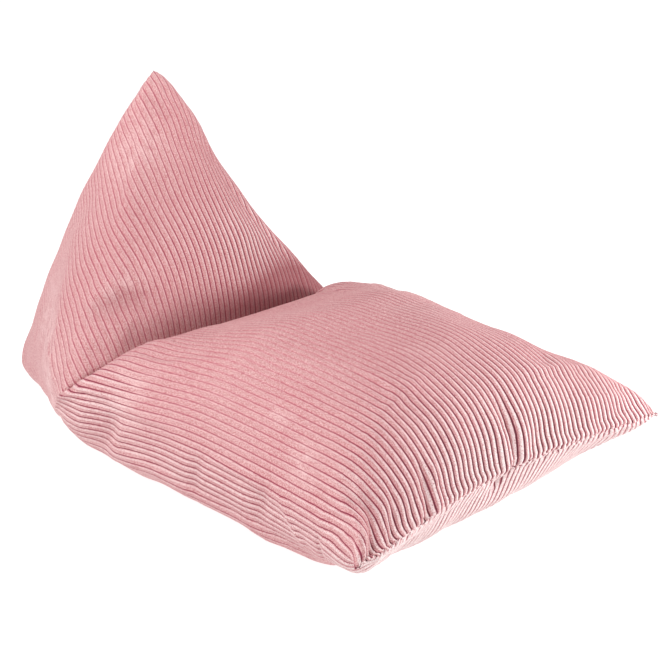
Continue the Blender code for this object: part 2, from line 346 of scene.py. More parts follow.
# %% The folds that show, and their like on the sides that don't
Fold = namedtuple("Fold", "side along mid_side mid_along end_side end_along width depth")
FOLDS = [
    # The crease down the middle of the front, the ridge on either side of it, and the
    # crease's end under the seam.
    Fold(0.002, 0.115, -0.004, 0.065, 0.018, 0.000, 8, 3.5),
    Fold(-0.034, 0.110, -0.036, 0.070, -0.015, 0.005, 10, -2),
    Fold(0.035, 0.100, 0.030, 0.060, 0.045, 0.010, 9, -2),
    Fold(0.985, 0.000, 1.008, 0.017, 1.025, 0.035, 9, 6),
    # Shorter folds towards the front left corner.
    Fold(-0.256, 0.098, -0.265, 0.059, -0.290, 0.020, 9, 4),
    Fold(-0.235, 0.095, -0.240, 0.060, -0.262, 0.020, 8, -3),
    Fold(-0.335, 0.105, -0.352, 0.066, -0.400, 0.025, 9, 3),
    Fold(-0.435, 0.145, -0.465, 0.080, -0.488, 0.035, 9, -6),
    Fold(-0.390, 0.125, -0.420, 0.080, -0.448, 0.035, 13, 5.5),
    # The left end of the crease, and the seat's corner that stands over it.
    Fold(-0.240, 0.604, -0.340, 0.605, -0.430, 0.606, 9, 13),
    Fold(-0.250, 0.570, -0.330, 0.576, -0.430, 0.596, 28, -12),
    Fold(-0.110, 0.574, -0.190, 0.573, -0.280, 0.572, 28, -4.5),
    # The side under the crease, where the seat pushes the cloth down.
    Fold(-0.420, 0.573, -0.480, 0.576, -0.535, 0.577, 8, -4),
    Fold(-0.470, 0.557, -0.520, 0.557, -0.575, 0.562, 8, 4),
    Fold(-0.490, 0.546, -0.545, 0.550, -0.610, 0.556, 7, -3),
    # Ripples low on the left side.
    Fold(-0.490, 0.425, -0.540, 0.430, -0.590, 0.436, 9, 3),
    Fold(-0.470, 0.312, -0.525, 0.326, -0.585, 0.341, 10, 3),
    Fold(-0.470, 0.288, -0.525, 0.265, -0.590, 0.245, 9, -3),
    Fold(-0.520, 0.175, -0.550, 0.178, -0.590, 0.181, 9, 3),
    # The dent low on the back, the swelling over it, and a small fold by the peak.
    Fold(-0.335, 0.705, -0.275, 0.686, -0.205, 0.672, 20, 7),
    Fold(-0.330, 0.732, -0.250, 0.712, -0.170, 0.694, 20, -3),
    Fold(-0.050, 0.940, -0.036, 0.922, -0.022, 0.900, 8, 3),
    # The soft edge between the back and its left flank.
    Fold(-0.570, 0.790, -0.480, 0.700, -0.462, 0.640, 14, -4),
    # The seat's far corner, which swells up beside the crease.
    Fold(0.245, 0.582, 0.290, 0.572, 0.340, 0.558, 14, -10),
    Fold(0.210, 0.556, 0.270, 0.536, 0.340, 0.520, 34, -8),
    Fold(0.300, 0.535, 0.360, 0.545, 0.430, 0.570, 22, -6),
    # The right side of the seat, which hangs a little lower than the left.
    Fold(0.280, 0.080, 0.300, 0.220, 0.280, 0.360, 55, 4),
    # The right side, out of the camera's sight, creases much as the left does.
    Fold(0.280, 0.606, 0.390, 0.607, 0.500, 0.606, 9, 13),
    Fold(0.460, 0.600, 0.500, 0.592, 0.550, 0.588, 10, 6),
    Fold(0.430, 0.571, 0.490, 0.574, 0.545, 0.580, 9, -4),
    Fold(0.480, 0.405, 0.530, 0.412, 0.585, 0.410, 10, 3),
    Fold(0.485, 0.250, 0.530, 0.268, 0.590, 0.290, 10, 3),
    # Two faint folds at the far front corner, and the soft edge of the right flank.
    Fold(0.330, 0.100, 0.350, 0.065, 0.395, 0.025, 10, 1.5),
    Fold(0.450, 0.105, 0.465, 0.075, 0.490, 0.045, 11, -1),
    Fold(0.570, 0.780, 0.490, 0.705, 0.462, 0.645, 14, -4),
]
print(len(FOLDS), "folds")


# %% Work out how far the folds press the cloth in
MILLIMETRE = 0.001
FOLD_STEPS = 24
FOLD_REACH = 3.0
END_DEPTH = 0.35


def fold_depth(sides, places):
    """Metres that each point is pressed in. A fold is shallower towards its ends."""
    along = np.repeat(places[:, None], sides.shape[1], axis=1) * CLOTH_LENGTH
    depth = np.zeros_like(sides)
    share = np.linspace(0.0, 1.0, FOLD_STEPS)
    blend = np.stack([(1.0 - share) ** 2, 2.0 * share * (1.0 - share), share**2])
    for fold in FOLDS:
        path_side = fold.side * blend[0] + fold.mid_side * blend[1] + fold.end_side * blend[2]
        path_along = fold.along * blend[0] + fold.mid_along * blend[1] + fold.end_along * blend[2]
        near_sides = fold.mid_side + (sides - fold.mid_side + 1.0) % 2.0 - 1.0
        reach = FOLD_REACH * fold.width * MILLIMETRE
        span = np.ptp(path_side) * TUBE_WIDTH + np.ptp(path_along) * CLOTH_LENGTH + reach
        off_across = (near_sides - fold.mid_side) * TUBE_WIDTH
        off_along = along - fold.mid_along * CLOTH_LENGTH
        rows, columns = np.nonzero(np.hypot(off_across, off_along) < span)
        from_path = np.hypot(
            (near_sides[rows, columns, None] - path_side) * TUBE_WIDTH,
            along[rows, columns, None] - path_along * CLOTH_LENGTH,
        )
        nearest = from_path.argmin(axis=1)
        taper = END_DEPTH + (1.0 - END_DEPTH) * np.sin(np.pi * share[nearest]) ** 0.5
        closeness = np.exp(-((from_path.min(axis=1) / (fold.width * MILLIMETRE)) ** 2))
        depth[rows, columns] += fold.depth * MILLIMETRE * taper * closeness
    return depth


folded = fold_depth(sides, places)
print("folds from", round(folded.min() * 1000, 1), "to", round(folded.max() * 1000, 1), "mm")

# %% [markdown]
# ## Folds and lumps, pressed in
# The filling is loose beads, so the cloth is never quite even. Slow waves, five to
# thirteen centimetres long and up to three millimetres high, keep the big faces from
# looking machined. They are added to the folds, and each point moves along its own
# normal. Nothing moves where the lounger stands on the floor or a seam holds it.

# %% Move the points
FLOOR_FADE = 0.012
SEAM_FADE = 0.006
LUMP_SIZE = 0.075
LUMP_HEIGHT = 0.0016
LUMP_WAVES = 40
SIZE_SPREAD = (0.7, 1.8)


def slow_waves(points, size, count, seed):
    """A smooth, seeded noise between about -1 and 1, from waves of many directions."""
    rng = np.random.default_rng(seed)
    total = np.zeros(points.shape[:2])
    for _ in range(count):
        heading = rng.normal(size=3)
        heading *= 2.0 * np.pi / (size * rng.uniform(*SIZE_SPREAD)) / np.linalg.norm(heading)
        total += np.cos(points @ heading + rng.uniform(0.0, 2.0 * np.pi))
    return total * math.sqrt(2.0 / count) / 2.0


def press(points, depth):
    """Move each point inwards by a depth, and never under the floor."""
    moved = points - outward(points) * depth[:, :, None]
    moved[:, :, 2] = np.maximum(moved[:, :, 2], 0.0)
    return moved


off_floor = smooth_step(points[:, :, 2] / FLOOR_FADE)
from_front = places * CLOTH_LENGTH
from_back = (1.0 - places) * CLOTH_LENGTH
off_seams = smooth_step(np.minimum(from_front, from_back) / SEAM_FADE)[:, None]
lumps = -LUMP_HEIGHT * slow_waves(points, LUMP_SIZE, LUMP_WAVES, seed=3)
points = press(points, (folded + lumps) * off_floor * off_seams)
print("lumps", round(float(np.ptp(lumps)) * 1000, 1), "mm from low to high")

# %% [markdown]
# ## Rolling the cloth
# Blender's grid is flat cloth already: its columns go round the tube and its rows go
# along it. Each corner of the grid is moved to its place, and merging by distance
# then sews the long join and both end seams. The grid's own UV map is kept, so that
# the wales' colours can follow every fold.

# %% Roll a grid of points into a tube
WELD = 0.00002


def roll(points, values, name):
    """A mesh of the tube, with one float layer for each of the named values."""
    bands = points.shape[0] - 1
    columns = points.shape[1]
    shape = bmesh.new()
    shape.loops.layers.uv.new("cloth")
    layers = {layer: shape.verts.layers.float.new(layer) for layer in values}
    # The flat grid runs from -0.5 to 0.5 both ways.
    bmesh.ops.create_grid(shape, x_segments=columns, y_segments=bands, size=0.5, calc_uvs=True)
    for corner in shape.verts:
        column = round((corner.co.x + 0.5) * columns) % columns
        row = round((corner.co.y + 0.5) * bands)
        corner.co = points[row, column]
        for layer, table in values.items():
            corner[layers[layer]] = table[row, column]
    bmesh.ops.remove_doubles(shape, verts=shape.verts, dist=WELD)
    bmesh.ops.recalc_face_normals(shape, faces=shape.faces)
    mesh = bpy.data.meshes.new(name)
    shape.to_mesh(mesh)
    shape.free()
    return mesh


print("grid", points.shape[:2], "ready to roll")

# %% [markdown]
# ## Blowing up the cloth
# The folds so far were listed one by one. A short cloth simulation adds the small dents
# and swellings that they would bring with them. A coarse copy of the tube is held at
# its seams and where it stands, and blown up from within. Only the fine part of its
# move is kept, and capped, so that the lounger still has the CAD solid's form.

# %% Simulate a coarse copy
# Every second row and one column for each wale go into the copy.
SIM_FRAMES = 12
SIM_PRESSURE = 2.0
SIM_QUALITY = 5
SIM_ROWS = 2
SIM_COLUMNS = 4
HELD_UNDER = 0.004
MOST_MOVED = 0.008
MOST_SWELLING = 0.0022
FINE_SPREAD = 4


def blurred(table, spread):
    """The table averaged with its neighbours, round the tube and along it."""
    weights = np.exp(-((np.arange(-2 * spread, 2 * spread + 1) / spread) ** 2))
    weights /= weights.sum()
    reach = 2 * spread
    wide = np.pad(table, ((0, 0), (reach, reach)), mode="wrap")
    wide = np.apply_along_axis(np.convolve, 1, wide, weights, mode="valid")
    tall = np.pad(wide, ((reach, reach), (0, 0)), mode="edge")
    return np.apply_along_axis(np.convolve, 0, tall, weights, mode="valid")


def blown_up(coarse):
    """How far each point of the coarse tube moves out when it is blown up."""
    node = np.arange(coarse.shape[0] * coarse.shape[1]).reshape(coarse.shape[:2])
    copy = link(bpy.data.objects.new("coarse", roll(coarse, {"node": node}, "coarse")))
    nodes = np.zeros(len(copy.data.vertices), np.float32)
    copy.data.attributes["node"].data.foreach_get("value", nodes)
    nodes = nodes.round().astype(int)
    held = coarse[:, :, 2] < HELD_UNDER
    held[[0, -1]] = True
    pins = copy.vertex_groups.new(name="held")
    pins.add(np.nonzero(held.ravel()[nodes])[0].tolist(), 1.0, "REPLACE")
    modifier = copy.modifiers.new("blow up", "CLOTH")
    modifier.point_cache.frame_end = SIM_FRAMES
    modifier.settings.quality = SIM_QUALITY
    modifier.settings.vertex_group_mass = pins.name
    modifier.settings.use_pressure = True
    modifier.settings.uniform_pressure_force = SIM_PRESSURE
    modifier.settings.effector_weights.gravity = 0.0
    for frame_number in range(1, SIM_FRAMES + 1):
        bpy.context.scene.frame_set(frame_number)
    moved = copy.evaluated_get(bpy.context.evaluated_depsgraph_get()).data
    blown = np.zeros(len(moved.vertices) * 3, np.float32)
    moved.vertices.foreach_get("co", blown)
    bpy.context.scene.frame_set(1)
    target = coarse.reshape(-1, 3).copy()
    target[nodes] = blown.reshape(-1, 3)
    bpy.data.objects.remove(copy)
    move = target.reshape(coarse.shape) - coarse
    return (move * outward(coarse)).sum(axis=2)


swelling = np.zeros(points.shape[:2])
out = np.clip(blown_up(points[::SIM_ROWS, ::SIM_COLUMNS]), -MOST_MOVED, MOST_MOVED)
fine = np.clip(out - blurred(out, FINE_SPREAD), -MOST_SWELLING, MOST_SWELLING)
print("blown up", (out.min() * 1000).round(1), "to", (out.max() * 1000).round(1), "mm")
every_row = np.arange(len(places))
fine = np.array([np.interp(turns, turns[::SIM_COLUMNS], row, period=1.0) for row in fine])
swelling = [np.interp(every_row, every_row[::SIM_ROWS], column) for column in fine.T]
swelling = np.array(swelling).T
points = press(points, -swelling * off_floor * off_seams)
print("kept", (swelling.min() * 1000).round(1), "to", (swelling.max() * 1000).round(1), "mm")

# %% [markdown]
# ## Seams and wales
# Each end seam draws the cloth into a shallow valley and gathers it into small
# puckers, and it zigzags a little from wale to wale. The wales come last, raised along
# the normals of all that, because a rib follows whatever cloth it stands on. They could
# be bump alone, but real ribs also show where they run into the seams and the crease.

# %% Draw the seams in and pucker them
PUCKER_REACH = 0.020
PUCKER_HEIGHT = 0.0020
PUCKER_SIZE = 0.022
VALLEY_DEPTH = 0.0030
VALLEY_REACH = 0.007
SEAM_END = 0.06
back_end = STATIONS[-1]
back_seam_slope = math.atan2(back_end.top_z, back_end.base_y - back_end.top_y)
rng = np.random.default_rng(11)
along_seam = np.sign(sides[0]) * np.minimum(np.abs(sides[0]), 1.0 - np.abs(sides[0]))
knots = np.linspace(-0.5, 0.5, WALES // 2 + 1)
zigzag = np.interp(along_seam, knots, rng.uniform(-1.0, 1.0, len(knots)))
across_top = np.abs(sides[-1])
knots = np.linspace(0.0, 1.0, WALES + 1)
zigzag_back = np.interp(across_top, knots, rng.uniform(-1.0, 1.0, len(knots)))
zigzag *= smooth_step((0.5 - np.abs(along_seam)) / SEAM_END)
zigzag_back *= smooth_step(np.minimum(across_top, 1.0 - across_top) / SEAM_END)
at_front = np.exp(-((from_front / VALLEY_REACH) ** 2))[:, None]
at_back = np.exp(-((from_back / VALLEY_REACH) ** 2))[:, None]
back_out = np.array([0.0, math.sin(back_seam_slope), math.cos(back_seam_slope)])
points[:, :, 1] += VALLEY_DEPTH * at_front
points[:, :, 2] += PUCKER_HEIGHT * zigzag * at_front
points -= VALLEY_DEPTH * at_back[:, :, None] * back_out
points[:, :, 0] += PUCKER_HEIGHT * zigzag_back * at_back
gathers = np.exp(-(np.minimum(from_front, from_back) / PUCKER_REACH) ** 2)[:, None]
pucker = PUCKER_HEIGHT * slow_waves(points, PUCKER_SIZE, LUMP_WAVES, seed=5) * gathers
points = press(points, pucker * off_seams)
print("puckers up to", round(float(np.abs(pucker).max()) * 1000, 1), "mm")

# %% Say where the wales stand open, and how much painted highlight and shade they get
# A mark is a soft spot of the cloth, with its half width and half length in metres.
# Where the filling bends the cloth the wales stand open. Elsewhere they lie flat and
# their grooves all but close. The same map sets how strong the painted highlight on a
# wale's flank and the painted shade in its groove are. Past 1, under the front, they
# are open and squashed: the groove and its painted shade are wider still and the rib
# low again.
Mark = namedtuple("Mark", "side along width length strength")
OPEN_AND_LIT_WALES = [
    # The front, the underside of the front, and the near corner, which is flatter.
    Mark(0.000, 0.040, 0.230, 0.150, 0.72),
    Mark(1.000, 0.020, 0.300, 0.110, 1.40),
    Mark(-0.480, 0.080, 0.035, 0.040, -0.40),
    # The right half of the seat, and the foot of the back.
    Mark(0.300, 0.300, 0.110, 0.220, 0.25),
    Mark(0.150, 0.700, 0.130, 0.090, 0.60),
    # The left side, the seat's corner, the right side, and the flat of the seat.
    Mark(-0.540, 0.360, 0.040, 0.280, 0.35),
    Mark(-0.440, 0.575, 0.040, 0.030, 0.35),
    Mark(0.500, 0.400, 0.080, 0.300, 0.30),
    Mark(-0.130, 0.430, 0.120, 0.150, -0.40),
]
OPEN_SHARE = 0.25
MOST_OPEN = 1.5


def spots(marks, sides, places):
    """The strengths of all the marks, added up at each point of the cloth."""
    total = np.zeros_like(sides)
    for mark in marks:
        near = mark.side + (sides - mark.side + 1.0) % 2.0 - 1.0
        across = (near - mark.side) * TUBE_WIDTH / mark.width
        along = (places - mark.along) * CLOTH_LENGTH / mark.length
        total += mark.strength * np.exp(-(across**2 + along[:, None] ** 2))
    return total


opened_and_lit = np.clip(OPEN_SHARE + spots(OPEN_AND_LIT_WALES, sides, places), 0.0, MOST_OPEN)
print("the wales are open by", round(float(opened_and_lit.mean()), 2), "on average")

# %% Raise the wales
# The slices count from the front seam, and the CAD solid from the middle of its base,
# so the finished cloth moves to the solid's place at the end.
WALE_HALF_HEIGHT = 0.0014
SHUT_RELIEF = 0.25
UNEVEN_SHARE = 0.20
UNEVEN_SIZE = 0.05
CAD_PLACE = np.array([0.0016, -0.5227, 0.0])
standing = np.where(opened_and_lit > 1.0, 2.0 - opened_and_lit, opened_and_lit)
uneven = 1.0 + UNEVEN_SHARE * slow_waves(points, UNEVEN_SIZE, LUMP_WAVES, seed=8)
uneven *= SHUT_RELIEF + (1.0 - SHUT_RELIEF) * standing**2
relief = WALE_HALF_HEIGHT * heights[None, :] * uneven * off_floor * off_seams
points = press(points, -relief)
points += CAD_PLACE
print("cloth from", points.min(axis=(0, 1)).round(4), "to", points.max(axis=(0, 1)).round(4))

# %% [markdown]
# ## Marks in the pile
# Three soft maps go with the cloth: where its wales stand open, which also sets their
# painted highlights and painted groove shade; where its pile was brushed the other way,
# together with a painted sheen on the back's left flank; and where painted shade darkens
# the crease, the folds and the back. They are made from the same marks as above and
# kept in the mesh, so the material can read them at each point.

# %% Brushed marks in the pile, and a painted sheen
# Where a hand or a fold has brushed the pile the other way, it shines paler. The pale
# pile on the back's left flank is a painted sheen.
BRUSHED_AND_SHEEN = [
    # The seat's corner at the left end of the crease.
    Mark(-0.386, 0.548, 0.020, 0.020, 0.9),
    Mark(-0.430, 0.548, 0.014, 0.016, 0.7),
    Mark(-0.458, 0.545, 0.016, 0.022, 0.9),
    # The back, high up and over the dent, and a painted sheen on its left flank.
    Mark(-0.110, 0.880, 0.050, 0.030, 0.5),
    Mark(-0.246, 0.705, 0.050, 0.010, 0.4),
    Mark(-0.500, 0.740, 0.035, 0.090, 0.6),
    Mark(-0.580, 0.720, 0.060, 0.180, 1.3),
    # The near front corner, and two spots on the right of the back.
    Mark(-0.472, 0.085, 0.012, 0.030, 0.9),
    Mark(0.340, 0.640, 0.030, 0.050, 0.5),
    Mark(0.370, 0.750, 0.030, 0.090, 0.5),
    # Short streaks along the wales, on the left of the seat.
    Mark(-0.392, 0.269, 0.014, 0.025, 0.7),
    Mark(-0.437, 0.255, 0.014, 0.030, 0.8),
    Mark(-0.348, 0.339, 0.012, 0.030, 0.6),
    Mark(-0.402, 0.151, 0.012, 0.040, 0.8),
    # Streaks across the wales of the back, and a spot beside the front's crease.
    Mark(-0.149, 0.910, 0.040, 0.012, 0.6),
    Mark(-0.127, 0.876, 0.040, 0.012, 0.5),
    Mark(-0.302, 0.694, 0.030, 0.012, 0.6),
    Mark(-0.239, 0.707, 0.050, 0.012, 0.6),
    Mark(-0.033, 0.048, 0.020, 0.020, 0.8),
]
nap_and_sheen = np.clip(spots(BRUSHED_AND_SHEEN, sides, places), 0.0, 1.0)
print(len(BRUSHED_AND_SHEEN), "brushed marks")

# %% Paint shade where little light gets into the pile
# Pile in the crease and in the folds is painted darker: this is painted shade. The seat's
# corner covers the left end of the crease, so the painted shade begins there and grows
# towards the right. The face of the back gets a little painted shade as well.
SHADE_ALONG = 0.631
SHADE_LENGTH = 0.026
SHADE_SIDE = 0.46
SHADE_BLUR = 0.07
LEFT_SHARE = 0.05
RISE_FROM = -0.36
RISE_WIDTH = 0.60
SHADY = [
    # Painted shade at the right end of the crease, and on the face of the back.
    Mark(0.240, 0.640, 0.080, 0.050, 0.90),
    Mark(0.060, 0.790, 0.280, 0.120, 0.24),
]
# A fold as deep as DARK_FOLD gets FOLD_SHADE of painted shade.
DARK_FOLD = 0.009
FOLD_SHADE = 0.5
in_crease = np.exp(-(((places - SHADE_ALONG) * CLOTH_LENGTH / SHADE_LENGTH) ** 2))[:, None]
painted_shade = in_crease * smooth_step((SHADE_SIDE - np.abs(sides)) / SHADE_BLUR + 0.5)
painted_shade *= LEFT_SHARE + (1.0 - LEFT_SHARE) * smooth_step((sides - RISE_FROM) / RISE_WIDTH)
painted_shade += spots(SHADY, sides, places)
painted_shade += np.maximum(folded, 0.0) / DARK_FOLD * FOLD_SHADE
painted_shade = np.clip(painted_shade, 0.0, 1.0)
print("hollows", round(painted_shade.mean() * 100, 1), "% of the cloth")

# %% Roll the grid into the tube
mesh = roll(points, {"nap_and_sheen": nap_and_sheen, "open_and_lit": opened_and_lit, "painted_shade": painted_shade}, "filled_cloth")
mesh.shade_smooth()
cloth = link(bpy.data.objects.new("filled_cloth", mesh))
triangles = sum(len(face.vertices) - 2 for face in mesh.polygons)
print(len(mesh.vertices), "points,", triangles, "triangles")

# %% Give the UV map the true places in the cloth
columns = len(turns)
bands = len(places) - 1
uv = mesh.uv_layers["cloth"]
flat = np.zeros(len(mesh.loops) * 2, np.float32)
uv.data.foreach_get("uv", flat)
flat = flat.reshape(-1, 2)
flat[:, 0] = np.interp(flat[:, 0] * columns, np.arange(columns + 1), np.append(turns, 1.0))
flat[:, 1] = np.interp(flat[:, 1] * bands, np.arange(bands + 1), places)
uv.data.foreach_set("uv", flat.ravel())
print("cloth map from", flat.min(axis=0), "to", flat.max(axis=0))

# %% [markdown]
# ## Corduroy
# Corduroy is cut pile: rows of upright tufts with bare ground between them. Three
# things make its look. The grooves are darker: the ground's own deeper colour, with
# painted shade for the depth it lies at. The flank of each wale carries a painted
# highlight, paler than its crown. And the pile leans this way and that, in streaks and
# brushed marks. The two groups below are the wale's shape and the pile's unevenness,
# as plain numbers. Keeping them apart from the colours makes both easier to follow and
# to use again.


# %% Helpers that wire nodes
def add_node(tree, kind, **settings):
    node = tree.nodes.new(kind)
    for name, value in settings.items():
        setattr(node, name, value)
    return node


def set_inputs(node, values):
    for name, value in values.items():
        node.inputs[name].default_value = value


def maths(tree, operation, *values, clamp=False):
    """A Math node. A value is a number or the socket that it comes from."""
    node = add_node(tree, "ShaderNodeMath", operation=operation, use_clamp=clamp)
    for socket, value in zip(node.inputs, values):
        if isinstance(value, (int, float)):
            socket.default_value = value
        else:
            tree.links.new(value, socket)
    return node.outputs[0]


def mapped(tree, value, low, high, to_low=0.0, to_high=1.0):
    node = add_node(tree, "ShaderNodeMapRange", interpolation_type="SMOOTHSTEP")
    set_inputs(node, {"From Min": low, "From Max": high, "To Min": to_low, "To Max": to_high})
    tree.links.new(value, node.inputs["Value"])
    return node.outputs["Result"]


def new_group(name, inputs, outputs):
    group = bpy.data.node_groups.new(name, "ShaderNodeTree")
    for socket, kind in inputs:
        group.interface.new_socket(name=socket, in_out="INPUT", socket_type=kind)
    for socket, kind in outputs:
        group.interface.new_socket(name=socket, in_out="OUTPUT", socket_type=kind)
    start = group.nodes.new("NodeGroupInput")
    end = group.nodes.new("NodeGroupOutput")
    return group, start, end


def noise(tree, vector, scale, detail, roughness):
    node = add_node(tree, "ShaderNodeTexNoise", noise_dimensions="3D")
    set_inputs(node, {"Scale": scale, "Detail": detail, "Roughness": roughness})
    tree.links.new(vector, node.inputs["Vector"])
    return node.outputs["Fac"]


print("helpers for nodes and groups are ready")


# %% The shape of a wale
# Widths are shares of a wale. The ones named SHUT are those of a shut wale, and the
# SPREAD is added in full where a wale is fully open. The groove is where the ground and
# its painted shade go, and the flank is where a highlight is painted. The flank fades in
# over FLANK_START, past the groove, and fades out over FLANK_END, at the far end of its
# reach.
GROOVE_SHUT = 0.11
GROOVE_SPREAD = 0.13
GROOVE_SHIFT = 0.15
GROOVE_SOFTNESS = 0.30
FLANK_SHUT = 0.14
FLANK_SPREAD = 0.50
FLANK_START = (0.08, 0.18)
FLANK_END = (-0.08, 0.08)


def off_centre(tree, phase):
    """0 on the crown of a wale and 1 in the middle of the groove beside it."""
    beside = maths(tree, "ABSOLUTE", maths(tree, "SUBTRACT", phase, 0.5))
    return maths(tree, "MULTIPLY", beside, 2.0)


def wale_group():
    """Groove is 1 in the bare ground, Flank where a highlight is painted. Rib is height."""
    value = "NodeSocketFloat"
    group, start, end = new_group(
        "Wale profile",
        [("Cloth", "NodeSocketVector"), ("Wales", value), ("Waver", value), ("Open_and_lit", value)],
        [("Groove", value), ("Flank", value), ("Rib", value)],
    )
    wale_open_and_lit = start.outputs["Open_and_lit"]
    split = add_node(group, "ShaderNodeSeparateXYZ")
    group.links.new(start.outputs["Cloth"], split.inputs["Vector"])
    count = maths(group, "MULTIPLY", split.outputs["X"], start.outputs["Wales"])
    count = maths(group, "ADD", count, start.outputs["Waver"])
    phase = maths(group, "FRACT", count)

    width = maths(group, "MULTIPLY_ADD", wale_open_and_lit, GROOVE_SPREAD, GROOVE_SHUT)
    shift = maths(group, "MULTIPLY", width, GROOVE_SHIFT)
    shifted = maths(group, "FRACT", maths(group, "ADD", count, shift))
    edge = maths(group, "SUBTRACT", 1.0, width)
    past_edge = maths(group, "SUBTRACT", off_centre(group, shifted), edge)
    groove = mapped(group, maths(group, "DIVIDE", past_edge, width), 0.0, GROOVE_SOFTNESS)

    rising = mapped(group, phase, *FLANK_START)
    up_to_full = maths(group, "MINIMUM", wale_open_and_lit, 1.0)
    reach = maths(group, "MULTIPLY_ADD", up_to_full, FLANK_SPREAD, FLANK_SHUT)
    falling = mapped(group, maths(group, "SUBTRACT", reach, phase), *FLANK_END)
    flank = maths(group, "MULTIPLY", rising, falling)

    squared = maths(group, "POWER", off_centre(group, phase), 2.0)
    rib = maths(group, "SQRT", maths(group, "SUBTRACT", 1.0, squared, clamp=True))
    group.links.new(groove, end.inputs["Groove"])
    group.links.new(flank, end.inputs["Flank"])
    group.links.new(rib, end.inputs["Rib"])
    return group


wale_nodes = wale_group()
print("group", wale_nodes.name)


# %% The unevenness of the pile
STREAKS_ALONG = 26.0
PATCH_SCALE = 9.0


def pile_group():
    """Tufts is a fine speckle, Streaks the pile's lean along the wales, Patches its wear."""
    value = "NodeSocketFloat"
    group, start, end = new_group(
        "Pile",
        [("Place", "NodeSocketVector"), ("Cloth", "NodeSocketVector"), ("Tuft Scale", value)],
        [("Tufts", value), ("Streaks", value), ("Patches", value)],
    )
    tufts = add_node(group, "ShaderNodeTexNoise", noise_dimensions="3D")
    set_inputs(tufts, {"Detail": 0.0})
    group.links.new(start.outputs["Place"], tufts.inputs["Vector"])
    group.links.new(start.outputs["Tuft Scale"], tufts.inputs["Scale"])
    stretch = add_node(group, "ShaderNodeVectorMath", operation="MULTIPLY")
    stretch.inputs[1].default_value = (float(WALES), STREAKS_ALONG, 1.0)
    group.links.new(start.outputs["Cloth"], stretch.inputs[0])
    streaks = noise(group, stretch.outputs["Vector"], 1.0, detail=3.0, roughness=0.6)
    patches = noise(group, start.outputs["Place"], PATCH_SCALE, detail=3.0, roughness=0.55)
    group.links.new(tufts.outputs["Fac"], end.inputs["Tufts"])
    group.links.new(streaks, end.inputs["Streaks"])
    group.links.new(patches, end.inputs["Patches"])
    return group


pile_nodes = pile_group()
print("group", pile_nodes.name)

# %% [markdown]
# ## The cloth's material
# The dusty pink is mixed from the pile outwards. First come the tufts, deeper where
# they lean away and paler where they are brushed, with a painted sheen on the back's
# left flank, and the worn crowns of the wales. Then come the painted highlights on the
# flanks, a speckle of single tufts, the ground in the grooves with painted shade in it,
# which looks redder where a wale lies shut, and the painted shade of the crease, the
# folds and the back.
# Mixing it from masks, not from a picture, lets every mark follow the cloth.

# %% Name the colours
TUFTS = (0.600, 0.212, 0.242, 1.0)
CROWN = (0.585, 0.350, 0.335, 1.0)
PALE_TUFTS = (0.800, 0.520, 0.520, 1.0)
DEEP_TUFTS = (0.480, 0.145, 0.170, 1.0)
# A painted highlight on the flank of each wale, strongest on the front.
FLANK_HIGHLIGHT = (0.970, 0.890, 0.870, 1.0)
# The grooves' colours: the ground's own deeper colour with painted shade in it.
GROUND_AND_SHADE = (0.200, 0.045, 0.065, 1.0)
SHUT_GROUND_AND_SHADE = (0.330, 0.045, 0.085, 1.0)
# The colour of the painted shade in the crease, the folds and on the back.
PAINTED_SHADE_COLOUR = (0.260, 0.070, 0.080, 1.0)
SHEEN_TINT = (1.0, 0.90, 0.88, 1.0)
print("colour of the tufts", TUFTS[:3])


# %% Colour the tufts
# A RAMP says between which values of a map a colour fades in, a SHARE how much of it.
LEAN_RAMP = (0.35, 0.70)
LEAN_SHARE = 0.35
# The brushed map also holds the painted sheen on the back's left flank.
BRUSH_AND_SHEEN_RAMP = (0.42, 0.56)
BRUSH_AND_SHEEN_SHARE = 0.75
BRUSHED_AND_SHEEN_CROWN_SHARE = 0.60
PATCH_RAMP = (0.40, 0.66)
PATCH_SHARE = 0.22
CROWN_RAMP = (0.60, 0.95)
CROWN_SHARE = 0.70


def mix(tree, factor, first, second):
    """A mixed colour. A colour is four numbers or the socket that it comes from."""
    node = add_node(tree, "ShaderNodeMix", data_type="RGBA")
    tree.links.new(factor, node.inputs["Factor"])
    for socket, colour in ((node.inputs[6], first), (node.inputs[7], second)):
        if isinstance(colour, tuple):
            socket.default_value = colour
        else:
            tree.links.new(colour, socket)
    return node.outputs[2]


def tuft_colour(tree, pile, wale, nap_and_sheen):
    """The tufts' and crowns' colour, paler where brushed and under a painted sheen."""
    leaning = mapped(tree, pile.outputs["Streaks"], *LEAN_RAMP)
    brushed_and_sheen = maths(tree, "MULTIPLY", nap_and_sheen, mapped(tree, pile.outputs["Streaks"], *BRUSH_AND_SHEEN_RAMP))
    patchy = mapped(tree, pile.outputs["Patches"], *PATCH_RAMP)
    paler = maths(tree, "MULTIPLY", patchy, PATCH_SHARE)
    paler = maths(tree, "MULTIPLY_ADD", brushed_and_sheen, BRUSH_AND_SHEEN_SHARE, paler, clamp=True)
    crown = mapped(tree, wale.outputs["Rib"], *CROWN_RAMP, 0.0, CROWN_SHARE)
    colour = mix(tree, maths(tree, "MULTIPLY", leaning, LEAN_SHARE), TUFTS, DEEP_TUFTS)
    colour = mix(tree, paler, colour, PALE_TUFTS)
    colour = mix(tree, crown, colour, CROWN)
    return mix(tree, maths(tree, "MULTIPLY", brushed_and_sheen, BRUSHED_AND_SHEEN_CROWN_SHARE), colour, PALE_TUFTS)


print("tufts are paler by", BRUSH_AND_SHEEN_SHARE, "where brushed and", PATCH_SHARE, "where worn")


